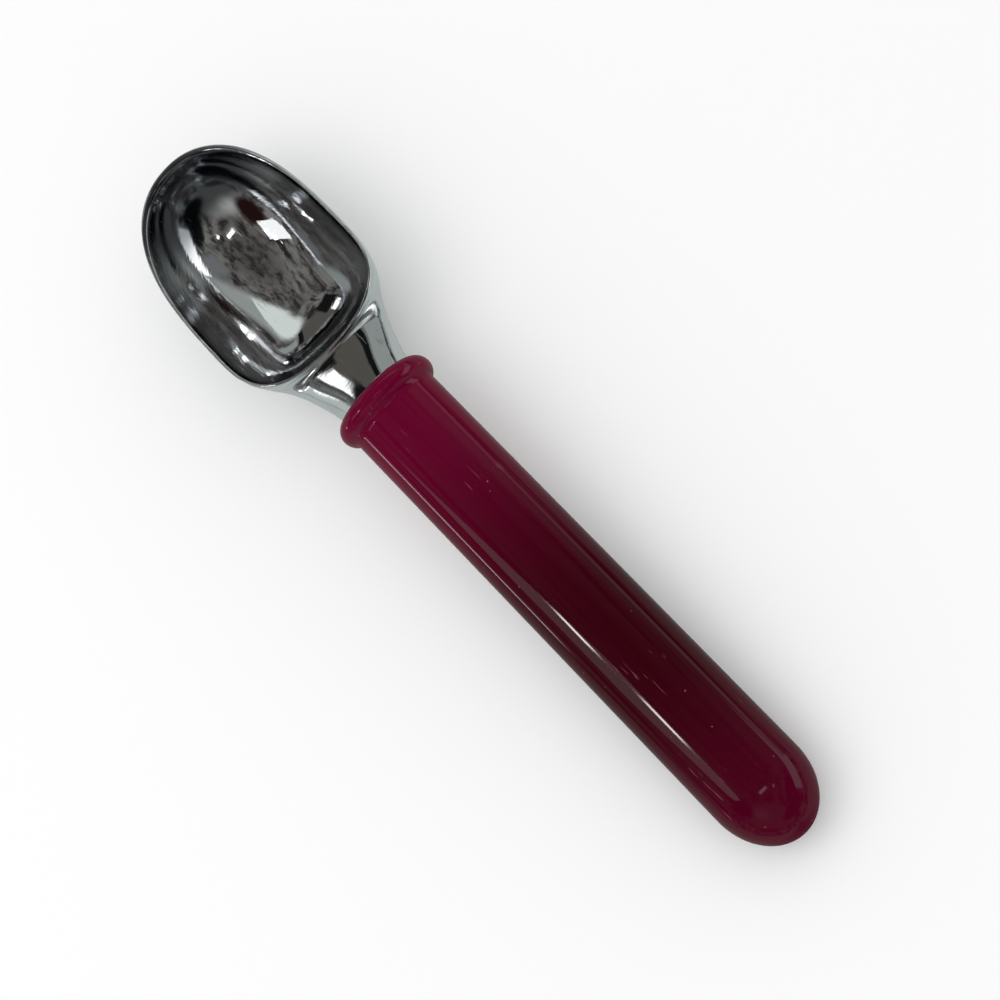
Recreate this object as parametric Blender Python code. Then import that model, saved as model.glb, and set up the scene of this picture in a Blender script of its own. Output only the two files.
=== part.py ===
"""Ice cream scoop in two pieces: a chrome-plated casting, which is the bowl, the neck
and the tang in one, and a glossy vinyl grip sleeve that is pushed over the tang.

Metres, +Z up. The scoop lies as on a table, on the flat under its bowl and on the end
of its grip, with the nose towards +X. The origin is at the middle of its footprint.

Sizes are first laid out in the tool's own frame: X runs along the grip's axis towards
the nose with 0 at the sleeve's mouth, and Z points out of the bowl's open side.
"""

import math

import bmesh
import bpy
import numpy as np
from mathutils import Matrix, Vector

# Bowl, measured in the plane of its mouth
BOWL_HALF_WIDTH = 0.0208
BOWL_FRONT_LENGTH = 0.0381  # widest station to the nose
BOWL_REAR_LENGTH = 0.0244  # widest station to the rear wall
BOWL_DEEPEST_AHEAD = 0.0010  # deepest point, ahead of the widest station
BOWL_DEPTH = 0.0207
BOWL_FLOOR_WALL = 0.0022
LIP_RADIUS = 0.0004  # the lip is round, so its wall is twice this
NOSE_LIP_GROWTH = 0.0009  # how much larger the lip's radius is at the nose
MOUTH_TILT = math.radians(-5.3)  # nose down, against the grip's axis
SIDE_POWER = 2.2
NOSE_POWER = 2.45
REAR_POWER = 4.15
SECTION_POWER = 2.0

# Neck
NECK_LENGTH = 0.0150  # sleeve's mouth to the back of the bowl's lip
NECK_FLARE = 0.0030  # how much each side has widened at the bowl
NECK_SAG = 0.0020  # how far the underside drops on its way under the bowl
NECK_POWER = 2.15
LIP_RISE = 0.0020  # lip's top at the back of the bowl, above the grip's axis
LIP_BACK_GAP = 0.0008  # back of the lip to the start of the neck's top
NECK_STEP = 0.0005  # neck's top, below the root of the lip
NECK_RAMP = 0.85  # how straight the neck's top falls to the lip: 0 is an S, 1 a plain ramp
ROOT_REACH = 0.0170  # how far the neck runs on under the bowl
ROOT_ROUND = 0.0060
FILLET = 0.0128  # bowl to neck, on the flanks
LIP_FILLET = 0.0014  # bowl to neck, behind the lip
FILLET_DEPTH = 0.0070  # where the one fillet has become the other

# Tang, hidden in the sleeve
TANG_HALF_WIDTH = 0.0101
TANG_HALF_THICKNESS = 0.0069
GRIP_POWER = 2.2

# Grip sleeve
SLEEVE_LENGTH = 0.1340
SLEEVE_WALL = 0.0010
SLEEVE_CLEARANCE = 0.0003
SLEEVE_DOME = 0.0140  # length of the rounded end
SLEEVE_TIP_WALL = 0.0020
TANG_TIP_GAP = 0.0020
BEAD_RADIUS = 0.0028
BEAD_HEIGHT = 0.0018  # rolled bead, proud of the grip

# Flat under the bowl
FOOT_CUT = 0.00025

# Mesh density
AROUND = 48
CAVITY_RINGS = 12
LIP_RINGS = 4
SWING_RINGS = 22
NECK_RINGS = 7
TANG_RINGS = 6
DOME_RINGS = 5
BEAD_RINGS = 10

ROUND = np.arange(AROUND) * 2 * math.pi / AROUND
BISECTIONS = 30
TINY = 1e-9


def smoothstep(share):
    """0 below 0, 1 above 1, and a smooth S between."""
    share = np.clip(share, 0, 1)
    return share * share * (3 - 2 * share)


def bowl_outline(angle):
    """Radius of the cavity's outline about the deepest point, at an angle from the nose."""
    along, across = np.cos(angle), np.sin(angle)
    near = np.zeros_like(angle)
    far = np.full_like(angle, BOWL_FRONT_LENGTH + BOWL_REAR_LENGTH + BOWL_HALF_WIDTH)
    for _ in range(BISECTIONS):
        radius = (near + far) / 2
        ahead = radius * along + BOWL_DEEPEST_AHEAD
        front = (np.abs(ahead) / BOWL_FRONT_LENGTH) ** NOSE_POWER
        rear = (np.abs(ahead) / BOWL_REAR_LENGTH) ** REAR_POWER
        side = (np.abs(radius * across) / BOWL_HALF_WIDTH) ** SIDE_POWER
        inside = np.where(ahead > 0, front, rear) + side < 1
        near = np.where(inside, radius, near)
        far = np.where(inside, far, radius)
    return (near + far) / 2


def lip_radius(angle):
    """Radius of the round lip at an angle from the nose, where it is fullest."""
    return LIP_RADIUS + NOSE_LIP_GROWTH * np.maximum(np.cos(angle), 0) ** 3


OUTLINE_ANGLES = np.linspace(-math.pi, math.pi, 721)
OUTLINE_RADII = bowl_outline(OUTLINE_ANGLES)
REAR_RADIUS = float(bowl_outline(np.array([math.pi]))[0])

# The mouth's own axes: forward along the mouth, and up out of it
MOUTH_FORWARD = np.array([math.cos(MOUTH_TILT), 0.0, math.sin(MOUTH_TILT)])
MOUTH_UP = np.array([-math.sin(MOUTH_TILT), 0.0, math.cos(MOUTH_TILT)])
LEFT = np.array([0.0, 1.0, 0.0])

# Places that follow from the sizes
LIP_WALL = 2 * LIP_RADIUS
LIP_BACK = np.array([NECK_LENGTH, 0.0, LIP_RISE])
BOWL_CENTRE = LIP_BACK + (REAR_RADIUS + LIP_WALL) * MOUTH_FORWARD - LIP_RADIUS * MOUTH_UP
HINGE_REACH = REAR_RADIUS + LIP_WALL + LIP_BACK_GAP
HINGE = BOWL_CENTRE - HINGE_REACH * MOUTH_FORWARD
NECK_TOP = HINGE[2] - NECK_STEP
ROOT_END = NECK_LENGTH + ROOT_REACH
CAVITY_DEPTH = BOWL_DEPTH - LIP_RADIUS
DOME_START = SLEEVE_DOME - SLEEVE_LENGTH
BORE_DOME = SLEEVE_DOME - SLEEVE_TIP_WALL
TANG_DOME = BORE_DOME - TANG_TIP_GAP
BORE_GROWTH = SLEEVE_CLEARANCE
GRIP_GROWTH = SLEEVE_CLEARANCE + SLEEVE_WALL
SEARCH_REACH = 2 * (BOWL_FRONT_LENGTH + BOWL_REAR_LENGTH)


def in_mouth(ahead, left, up):
    """Points in the tool's frame from distances along the mouth's own axes."""
    return BOWL_CENTRE + np.outer(ahead, MOUTH_FORWARD) + np.outer(left, LEFT) + np.outer(up, MOUTH_UP)


def outside_bowl(points):
    """Distance out of the bowl's outer skin, along a line from the bowl's centre."""
    offset = points - BOWL_CENTRE
    ahead, up = offset @ MOUTH_FORWARD, offset @ MOUTH_UP
    flat, angle = np.hypot(ahead, offset[..., 1]), np.arctan2(offset[..., 1], ahead)
    outline = np.interp(angle, OUTLINE_ANGLES, OUTLINE_RADII) + 2 * lip_radius(angle)
    across = (flat / outline) ** SECTION_POWER
    down = (np.abs(up) / (CAVITY_DEPTH + BOWL_FLOOR_WALL)) ** SECTION_POWER
    share = np.maximum((across + down) ** (1 / SECTION_POWER), TINY)
    return np.hypot(flat, up) * (1 - 1 / share)


def neck_section(x):
    """Half width, half thickness, height of the middle and roundness of the neck or tang at x."""
    at_bowl = smoothstep(x / NECK_LENGTH)
    under_bowl = smoothstep((x - NECK_LENGTH) / ROOT_REACH)
    half_width = TANG_HALF_WIDTH + NECK_FLARE * at_bowl
    half_width = half_width * (1 - 0.35 * under_bowl)
    fall = NECK_RAMP * np.clip(x / NECK_LENGTH, 0, 1) + (1 - NECK_RAMP) * at_bowl
    top = TANG_HALF_THICKNESS + (NECK_TOP - TANG_HALF_THICKNESS) * fall
    bottom = -TANG_HALF_THICKNESS - NECK_SAG * smoothstep(x / ROOT_END)
    top = top - 0.35 * (top - bottom) * under_bowl
    power = GRIP_POWER + (NECK_POWER - GRIP_POWER) * at_bowl
    return half_width, (top - bottom) / 2, (top + bottom) / 2, power


def outside_neck(points):
    """Distance out of the neck's skin, which ends rounded inside the bowl's floor."""
    half_width, half_thickness, middle, power = neck_section(points[..., 0])
    left, up = points[..., 1], points[..., 2] - middle
    share = (np.abs(left) / half_width) ** power + (np.abs(up) / half_thickness) ** power
    share = np.maximum(share ** (1 / power), TINY)
    sideways = np.hypot(left, up) * (1 - 1 / share) + ROOT_ROUND
    endways = points[..., 0] - ROOT_END + ROOT_ROUND
    corner = np.hypot(np.maximum(sideways, 0), np.maximum(endways, 0))
    inner = np.minimum(np.maximum(sideways, endways), 0)
    return corner + inner - ROOT_ROUND


def outside_casting(points):
    """Distance out of the bowl and neck, joined by a fillet that is small behind the lip."""
    bowl, neck = outside_bowl(points), outside_neck(points)
    depth = -((points - BOWL_CENTRE) @ MOUTH_UP) / FILLET_DEPTH
    fillet = LIP_FILLET + (FILLET - LIP_FILLET) * smoothstep(depth)
    overlap = np.maximum(fillet - np.abs(bowl - neck), 0) / fillet
    return np.minimum(bowl, neck) - overlap**3 * fillet / 6


def skin_ring(centre, forward):
    """The casting's outer skin where the plane of forward and left through centre cuts it."""
    rays = np.outer(np.cos(ROUND), forward) + np.outer(np.sin(ROUND), LEFT)
    steps = np.linspace(0, SEARCH_REACH, 120)
    probes = centre + rays[:, None, :] * steps[None, :, None]
    first = np.argmax(outside_casting(probes) > 0, axis=1)
    near, far = steps[np.maximum(first - 1, 0)], steps[first]
    for _ in range(BISECTIONS):
        middle = (near + far) / 2
        out = outside_casting(centre + rays * middle[:, None]) > 0
        near, far = np.where(out, near, middle), np.where(out, middle, far)
    return centre + rays * ((near + far) / 2)[:, None]


def cavity_rings():
    """The bowl's inside, from just above its deepest point to the root of the lip."""
    outline = bowl_outline(ROUND)
    rings = []
    for number in range(1, CAVITY_RINGS + 1):
        turn = math.pi / 2 * number / CAVITY_RINGS
        spread = math.sin(turn) ** (2 / SECTION_POWER)
        depth = CAVITY_DEPTH * math.cos(turn) ** (2 / SECTION_POWER)
        radius = outline * spread
        rings.append(in_mouth(radius * np.cos(ROUND), radius * np.sin(ROUND), np.full(AROUND, -depth)))
    return rings


def lip_rings():
    """The round lip, from the cavity's wall over to the outer skin."""
    outline, lip = bowl_outline(ROUND), lip_radius(ROUND)
    rings = []
    for number in range(1, LIP_RINGS):
        turn = math.pi * (1 - number / LIP_RINGS)
        radius = outline + lip * (1 + math.cos(turn))
        height = lip * math.sin(turn)
        rings.append(in_mouth(radius * np.cos(ROUND), radius * np.sin(ROUND), height))
    return rings


def swing_rings():
    """The outer skin in planes that swing about the hinge behind the lip, from the mouth
    to square across the neck."""
    rings = []
    for number in range(SWING_RINGS):
        swing = (math.pi / 2 + MOUTH_TILT) * number / SWING_RINGS
        forward = math.cos(swing) * MOUTH_FORWARD - math.sin(swing) * MOUTH_UP
        probes = np.linspace(0, SEARCH_REACH, 800)
        solid = probes[outside_casting(HINGE + np.outer(probes, forward)) < 0]
        settled = smoothstep(2 * number / SWING_RINGS)
        reach = HINGE_REACH + ((solid[0] + solid[-1]) / 2 - HINGE_REACH) * settled
        rings.append(skin_ring(HINGE + reach * forward, forward))
    return rings


def bar_ring(x):
    """The skin across the neck or tang at x, counted from the underside like the others."""
    return skin_ring(np.array([x, 0.0, float(neck_section(x)[2])]), np.array([0.0, 0.0, -1.0]))


def oval_ring(x, growth, scale=1.0):
    """A ring of the tang's oval section, made larger all round by growth and then scaled."""
    across, up = np.sin(ROUND), -np.cos(ROUND)
    share = (np.abs(across) / (TANG_HALF_WIDTH + growth)) ** GRIP_POWER
    share = share + (np.abs(up) / (TANG_HALF_THICKNESS + growth)) ** GRIP_POWER
    radius = scale * share ** (-1 / GRIP_POWER)
    return np.stack([np.full(AROUND, x), radius * across, radius * up], axis=1)


def dome_rings(length, growth):
    """An oval bar's rounded end, from its shoulder to just short of its tip, and the tip."""
    rings = []
    for number in range(DOME_RINGS):
        turn = math.pi / 2 * number / DOME_RINGS
        rings.append(oval_ring(DOME_START - length * math.sin(turn), growth, math.cos(turn)))
    return rings, np.array([DOME_START - length, 0.0, 0.0])


def loft(name, start, rings, end):
    """A closed mesh object through the rings, with a point at each end."""
    shape = bmesh.new()
    first, last = shape.verts.new(start), shape.verts.new(end)
    loops = [[shape.verts.new(point) for point in ring] for ring in rings]
    for here, there in zip(loops, loops[1:]):
        for k in range(AROUND):
            after = (k + 1) % AROUND
            shape.faces.new((here[k], here[after], there[after], there[k]))
    for k in range(AROUND):
        after = (k + 1) % AROUND
        shape.faces.new((first, loops[0][after], loops[0][k]))
        shape.faces.new((last, loops[-1][k], loops[-1][after]))
    bmesh.ops.recalc_face_normals(shape, faces=shape.faces)
    return finish_object(name, shape)


def finish_object(name, shape):
    """A mesh object from a bmesh, shaded smooth but for its sharp edges."""
    mesh = bpy.data.meshes.new(name)
    shape.to_mesh(mesh)
    shape.free()
    mesh.shade_smooth()
    mesh.set_sharp_from_angle(angle=math.radians(40))
    obj = bpy.data.objects.new(name, mesh)
    collection.objects.link(obj)
    return obj


def make_casting():
    """Bowl, neck and tang: one skin from the cavity's floor, over the lip and back to the tip."""
    dome, tip = dome_rings(TANG_DOME, 0.0)
    neck = [bar_ring(x) for x in np.linspace(HINGE[0], 0, NECK_RINGS, endpoint=False)]
    tang = [oval_ring(x, 0.0) for x in np.linspace(0, DOME_START, TANG_RINGS, endpoint=False)]
    floor = in_mouth([0], [0], [-CAVITY_DEPTH])[0]
    rings = cavity_rings() + lip_rings() + swing_rings() + neck + tang + dome
    return loft("scoop_casting", floor, rings, tip)


def make_sleeve():
    """A closed-ended sleeve with a rolled bead round its mouth."""
    outer, outer_tip = dome_rings(SLEEVE_DOME, GRIP_GROWTH)
    bore, bore_tip = dome_rings(BORE_DOME, BORE_GROWTH)
    bead_middle = BEAD_HEIGHT - BEAD_RADIUS
    behind = math.pi - math.asin(-bead_middle / BEAD_RADIUS)
    front = math.asin((-SLEEVE_WALL - bead_middle) / BEAD_RADIUS)
    bead = []
    for turn in np.linspace(behind, front, BEAD_RINGS):
        x = BEAD_RADIUS * (math.cos(turn) - math.cos(front))
        growth = GRIP_GROWTH + bead_middle + BEAD_RADIUS * math.sin(turn)
        bead.append(oval_ring(x, growth))
    bead_back = bead[0][0, 0]
    shank = [oval_ring(x, GRIP_GROWTH) for x in np.linspace(DOME_START, bead_back, TANG_RINGS)[1:-1]]
    hole = [oval_ring(x, BORE_GROWTH) for x in np.linspace(0, DOME_START, TANG_RINGS)[1:-1]]
    return loft("grip_sleeve", outer_tip, outer[::-1] + shank + bead + hole + bore, bore_tip)


def corners(obj):
    """The object's vertices as an array."""
    return np.array([vertex.co for vertex in obj.data.vertices])


def lowest(points, pitch):
    """Height of the lowest point once the tool is pitched nose up."""
    return (points[:, 0] * math.sin(pitch) + points[:, 2] * math.cos(pitch)).min()


def resting_pitch(bowl, grip):
    """Pitch at which the flat under the bowl and the grip's end touch one table."""
    low, high = math.radians(-20), math.radians(20)
    for _ in range(BISECTIONS):
        pitch = (low + high) / 2
        if lowest(bowl, pitch) + FOOT_CUT < lowest(grip, pitch):
            low = pitch
        else:
            high = pitch
    return (low + high) / 2


def lay_down(casting, sleeve):
    """Stands the tool on its table under one parent, and cuts the flat under the bowl."""
    pitch = resting_pitch(corners(casting), corners(sleeve))
    turn = Matrix.Rotation(-pitch, 4, "Y")
    points = np.vstack([corners(casting), corners(sleeve)]) @ np.array(turn.to_3x3()).T
    middle = (points[:, 0].min() + points[:, 0].max()) / 2
    table = lowest(corners(casting), pitch) + FOOT_CUT
    rest = bpy.data.objects.new("rest", None)
    rest.empty_display_size = SLEEVE_DOME
    collection.objects.link(rest)
    rest.matrix_world = Matrix.Translation((-middle, 0, -table)) @ turn
    for obj in (casting, sleeve):
        obj.parent = rest
    to_tool = rest.matrix_world.inverted()
    shape = bmesh.new()
    shape.from_mesh(casting.data)
    cut = bmesh.ops.bisect_plane(
        shape,
        geom=shape.verts[:] + shape.edges[:] + shape.faces[:],
        plane_co=to_tool @ Vector((0, 0, 0)),
        plane_no=to_tool.to_3x3() @ Vector((0, 0, 1)),
        clear_inner=True,
    )
    rim = [item for item in cut["geom_cut"] if isinstance(item, bmesh.types.BMEdge)]
    bmesh.ops.contextual_create(shape, geom=rim)
    bmesh.ops.recalc_face_normals(shape, faces=shape.faces)
    shape.to_mesh(casting.data)
    shape.free()


def dress(obj, name, colour, roughness, metallic, coat=0.0):
    """Gives the object its material."""
    material = bpy.data.materials.new(name)
    material.use_nodes = True
    shader = material.node_tree.nodes["Principled BSDF"]
    shader.inputs["Base Color"].default_value = (*colour, 1.0)
    shader.inputs["Roughness"].default_value = roughness
    shader.inputs["Metallic"].default_value = metallic
    shader.inputs["Coat Weight"].default_value = coat
    material.diffuse_color = (*colour, 1.0)
    obj.data.materials.append(material)


for leftover in list(bpy.data.objects):
    bpy.data.objects.remove(leftover, do_unlink=True)
collection = bpy.data.collections.new("ice_cream_scoop")
bpy.context.scene.collection.children.link(collection)

scoop_casting = make_casting()
grip_sleeve = make_sleeve()
lay_down(scoop_casting, grip_sleeve)
dress(scoop_casting, "polished_chrome", (0.79, 0.80, 0.81), 0.08, 1.0)
dress(grip_sleeve, "burgundy_vinyl", (0.17, 0.004, 0.035), 0.18, 0.0, coat=0.6)
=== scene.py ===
"""Looks of the ice cream scoop: fine skins for its casting and its grip, their finishes,
and the studio that they are shown in.

Metres, +Z up. Shapes are laid out in the tool's own frame: X runs along the grip's axis
towards the nose with 0 at the sleeve's mouth, and Z points out of the bowl's open side.
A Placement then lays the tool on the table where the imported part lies.
"""

from __future__ import annotations

import functools
import logging
import math
from dataclasses import dataclass, field
from enum import Enum
from typing import Any, Sequence, Union

import bmesh
import bpy
import numpy as np
from mathutils import Matrix, Vector

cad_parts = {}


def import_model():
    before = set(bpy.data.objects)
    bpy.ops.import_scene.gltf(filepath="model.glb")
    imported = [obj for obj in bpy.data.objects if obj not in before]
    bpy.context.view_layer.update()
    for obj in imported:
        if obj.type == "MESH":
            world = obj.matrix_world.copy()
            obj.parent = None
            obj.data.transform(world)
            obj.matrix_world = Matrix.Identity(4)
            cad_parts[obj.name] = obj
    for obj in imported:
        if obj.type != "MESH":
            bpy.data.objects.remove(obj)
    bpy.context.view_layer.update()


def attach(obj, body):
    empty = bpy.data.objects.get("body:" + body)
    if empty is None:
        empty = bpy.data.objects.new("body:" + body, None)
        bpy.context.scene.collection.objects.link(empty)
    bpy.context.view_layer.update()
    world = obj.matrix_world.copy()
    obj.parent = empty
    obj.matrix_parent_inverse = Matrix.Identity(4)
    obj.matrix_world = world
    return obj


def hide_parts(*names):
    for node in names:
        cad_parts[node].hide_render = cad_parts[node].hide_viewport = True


LOG = logging.getLogger("ice_cream_scoop")
LEFT = np.array([0.0, 1.0, 0.0])
BISECTIONS = 26
TINY = 1e-9
SAME_PLACE = 1e-7
STEEPEST_PITCH = math.radians(20)
WHITE = (1.0, 1.0, 1.0)
RAYS_THAT_SEE_THE_BACKDROP = ("Camera", "Glossy", "Transmission")

Three = tuple[float, float, float]
Colour = Three
Edge = tuple[float, float]
Rings = list[np.ndarray]


def smoothstep(share: Any) -> Any:
    """0 below 0, 1 above 1, and a smooth S between."""
    share = np.clip(share, 0, 1)
    return share * share * (3 - 2 * share)


def around(count: int) -> np.ndarray:
    """Angles once round, the last one back at the first.

    Args:
        count: Number of faces round.

    Returns:
        count + 1 angles in radians.
    """
    return np.linspace(0, 2 * math.pi, count + 1)


@dataclass(frozen=True)
class Bowl:
    """The bowl, measured in the plane of its mouth."""

    half_width: float = 0.0208
    front_length: float = 0.0381
    rear_length: float = 0.0244
    deepest_ahead: float = 0.0010
    depth: float = 0.0207
    floor_wall: float = 0.0022
    lip_radius: float = 0.0004
    nose_lip_growth: float = 0.0009
    nose_lip_power: int = 3
    tilt: float = math.radians(-5.3)
    side_power: float = 2.2
    nose_power: float = 2.45
    rear_power: float = 4.15
    section_power: float = 2.0
    lip_back: Three = (0.0150, 0.0, 0.0020)
    table_points: int = 1441

    def __post_init__(self) -> None:
        """Works out the mouth's axes, its centre and a table of its outline."""
        forward = np.array([math.cos(self.tilt), 0.0, math.sin(self.tilt)])
        up = np.array([-math.sin(self.tilt), 0.0, math.cos(self.tilt)])
        angles = np.linspace(-math.pi, math.pi, self.table_points)
        radii = self.solve_outline(angles)
        rear = float(radii[-1])
        centre = np.array(self.lip_back) + (rear + 2 * self.lip_radius) * forward
        derived = {
            "forward": forward,
            "up": up,
            "angles": angles,
            "radii": radii,
            "rear_radius": rear,
            "centre": centre - self.lip_radius * up,
            "cavity_depth": self.depth - self.lip_radius,
        }
        for name, value in derived.items():
            object.__setattr__(self, name, value)

    def solve_outline(self, angle: np.ndarray) -> np.ndarray:
        """Radius of the cavity's outline about its deepest point.

        Args:
            angle: Angles from the nose, in radians.

        Returns:
            A radius for each angle.
        """
        along, across = np.cos(angle), np.sin(angle)
        near = np.zeros_like(angle)
        far = np.full_like(angle, self.front_length + self.rear_length + self.half_width)
        for _ in range(BISECTIONS):
            radius = (near + far) / 2
            ahead = radius * along + self.deepest_ahead
            front = (np.abs(ahead) / self.front_length) ** self.nose_power
            rear = (np.abs(ahead) / self.rear_length) ** self.rear_power
            side = (np.abs(radius * across) / self.half_width) ** self.side_power
            inside = np.where(ahead > 0, front, rear) + side < 1
            near, far = np.where(inside, radius, near), np.where(inside, far, radius)
        return (near + far) / 2

    def lip_at(self, angle: np.ndarray) -> np.ndarray:
        """Radius of the round lip at an angle from the nose, where it is fullest."""
        growth = np.maximum(np.cos(angle), 0) ** self.nose_lip_power
        return self.lip_radius + self.nose_lip_growth * growth

    def place(self, ahead: Any, left: Any, up: Any) -> np.ndarray:
        """Points in the tool's frame from distances along the mouth's own axes."""
        across = np.outer(ahead, self.forward) + np.outer(left, LEFT)
        return self.centre + across + np.outer(up, self.up)

    def outside(self, points: np.ndarray) -> np.ndarray:
        """Distance out of the bowl's outer skin, along a line from the bowl's centre.

        Args:
            points: Points in the tool's frame.

        Returns:
            A distance for each point, below 0 inside.
        """
        offset = points - self.centre
        ahead, up = offset @ self.forward, offset @ self.up
        flat = np.hypot(ahead, offset[..., 1])
        angle = np.arctan2(offset[..., 1], ahead)
        outline = np.interp(angle, self.angles, self.radii) + 2 * self.lip_at(angle)
        across = (flat / outline) ** self.section_power
        down = (np.abs(up) / (self.cavity_depth + self.floor_wall)) ** self.section_power
        share = np.maximum((across + down) ** (1 / self.section_power), TINY)
        return np.hypot(flat, up) * (1 - 1 / share)

    def cavity_rings(self, angle: np.ndarray, count: int) -> Rings:
        """The bowl's inside, from its deepest point to the root of the lip.

        Args:
            angle: Angles of a ring's points.
            count: Number of rings after the deepest point.

        Returns:
            Rings of points in the tool's frame.
        """
        outline = self.solve_outline(angle)
        rings = []
        for number in range(count + 1):
            turn = math.pi / 2 * number / count
            spread = math.sin(turn) ** (2 / self.section_power)
            depth = self.cavity_depth * abs(math.cos(turn)) ** (2 / self.section_power)
            radius = outline * spread
            up = np.full(len(angle), -depth)
            rings.append(self.place(radius * np.cos(angle), radius * np.sin(angle), up))
        return rings

    def lip_rings(self, angle: np.ndarray, count: int) -> Rings:
        """The round lip, from the cavity's wall over to the outer skin.

        Args:
            angle: Angles of a ring's points.
            count: Number of steps over the lip.

        Returns:
            Rings of points in the tool's frame, without the two that the walls hold.
        """
        outline, lip = self.solve_outline(angle), self.lip_at(angle)
        rings = []
        for number in range(1, count):
            turn = math.pi * (1 - number / count)
            radius = outline + lip * (1 + math.cos(turn))
            up = lip * math.sin(turn)
            rings.append(self.place(radius * np.cos(angle), radius * np.sin(angle), up))
        return rings


@dataclass(frozen=True)
class Bar:
    """The oval bar that the tang and the grip sleeve share."""

    half_width: float = 0.0101
    half_thickness: float = 0.0069
    power: float = 2.2

    def ring(self, x: float, angle: np.ndarray, growth: float, scale: float = 1.0) -> np.ndarray:
        """An oval ring across the bar.

        Args:
            x: Place along the grip's axis.
            angle: Angles of the points, from the underside.
            growth: How much larger than the tang the oval is, all round.
            scale: Share of the oval's size, for rounded ends.

        Returns:
            Points in the tool's frame.
        """
        across, up = np.sin(angle), -np.cos(angle)
        share = (np.abs(across) / (self.half_width + growth)) ** self.power
        share = share + (np.abs(up) / (self.half_thickness + growth)) ** self.power
        radius = scale * share ** (-1 / self.power)
        return np.stack([np.full(len(angle), x), radius * across, radius * up], axis=1)

    def dome(
        self, start: float, length: float, angle: np.ndarray, growth: float, count: int
    ) -> Rings:
        """A rounded end, from its shoulder to its tip.

        Args:
            start: Place of the shoulder along the grip's axis.
            length: Length of the rounded end.
            angle: Angles of a ring's points.
            growth: How much larger than the tang the shoulder is, all round.
            count: Number of rings after the shoulder.

        Returns:
            Rings of points in the tool's frame, the last one shrunk to a point.
        """
        rings = []
        for number in range(count + 1):
            turn = math.pi / 2 * number / count
            x = start - length * math.sin(turn)
            rings.append(self.ring(x, angle, growth, abs(math.cos(turn))))
        return rings


@dataclass(frozen=True)
class Placement:
    """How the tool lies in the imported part's frame."""

    pitch: float
    shift: tuple[float, float]

    def matrix(self) -> Matrix:
        """The turn and move from the tool's own frame to the part's."""
        move = Matrix.Translation((self.shift[0], 0.0, self.shift[1]))
        return move @ Matrix.Rotation(-self.pitch, 4, "Y")


def lofted(name: str, rings: Sequence[np.ndarray], place: Placement) -> bpy.types.Object:
    """A closed skin: a grid wrapped round the rings, whose first and last are points.

    Args:
        name: Name of the object.
        rings: Rings of points in the tool's frame, the last point of each on its first.
        place: How the tool lies.

    Returns:
        The object, at the origin, with its place in its mesh.
    """
    shape = bmesh.new()
    shape.loops.layers.uv.new("UVMap")
    bmesh.ops.create_grid(
        shape,
        x_segments=len(rings[0]) - 1,
        y_segments=len(rings) - 1,
        size=1.0,
        calc_uvs=True,
    )
    shape.verts.ensure_lookup_table()
    for vertex, point in zip(shape.verts, np.concatenate(rings)):
        vertex.co = point
    bmesh.ops.remove_doubles(shape, verts=shape.verts, dist=SAME_PLACE)
    bmesh.ops.recalc_face_normals(shape, faces=shape.faces)
    bmesh.ops.transform(shape, matrix=place.matrix(), verts=shape.verts)
    mesh = bpy.data.meshes.new(name)
    shape.to_mesh(mesh)
    shape.free()
    mesh.shade_smooth()
    obj = bpy.data.objects.new(name, mesh)
    bpy.context.scene.collection.objects.link(obj)
    return obj


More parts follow.
